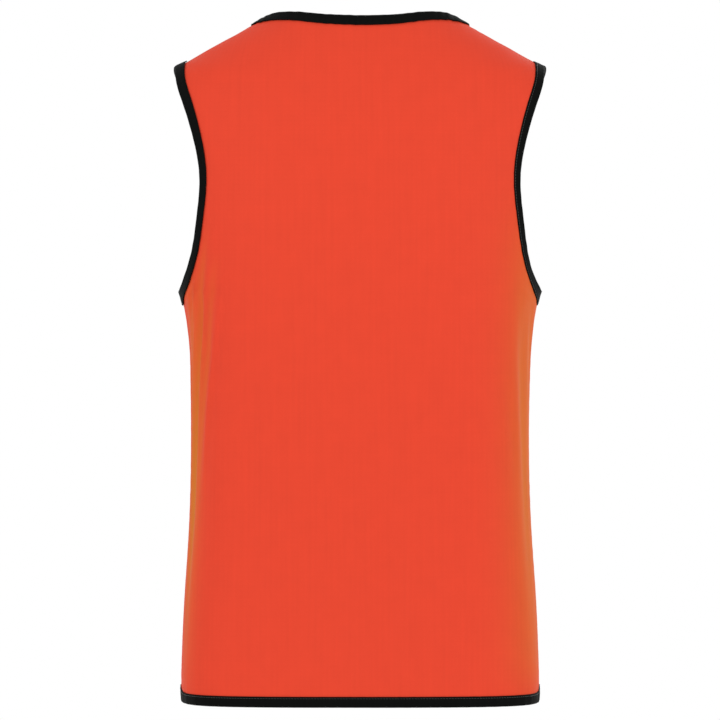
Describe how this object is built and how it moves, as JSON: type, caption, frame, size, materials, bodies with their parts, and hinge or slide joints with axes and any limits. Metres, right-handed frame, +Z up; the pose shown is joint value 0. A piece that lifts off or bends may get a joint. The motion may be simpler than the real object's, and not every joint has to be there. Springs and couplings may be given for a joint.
{
  "type": "reversible rugby bib",
  "caption": "Sleeveless reversible sports bib in thin knit, orange-red outside, with folded black binding round the neck, the armholes and the hem, filled out as when worn.",
  "frame": {"origin": "between the shoulders, level with the middle of the shoulder seams, where the wearer's shoulders hold the bib", "axes": "+Z up, +Y the way the wearer faces, so the pictured back faces -Y, and +X the wearer's right"},
  "size_m": [0.3852, 0.234, 0.7081],
  "materials": {
    "outer_knit": "matt polyester knit, orange-red",
    "reverse_knit": "matt polyester knit, yellow",
    "binding_knit": "matt folded knit tape, black"
  },
  "bodies": {
    "root": {"back_panel": "outer_knit", "front_panel": "outer_knit", "back_reverse": "reverse_knit", "front_reverse": "reverse_knit", "neck_binding": "binding_knit", "hem_binding": "binding_knit", "left_armhole_binding": "binding_knit", "right_armhole_binding": "binding_knit"}
  },
  "joints": []
}
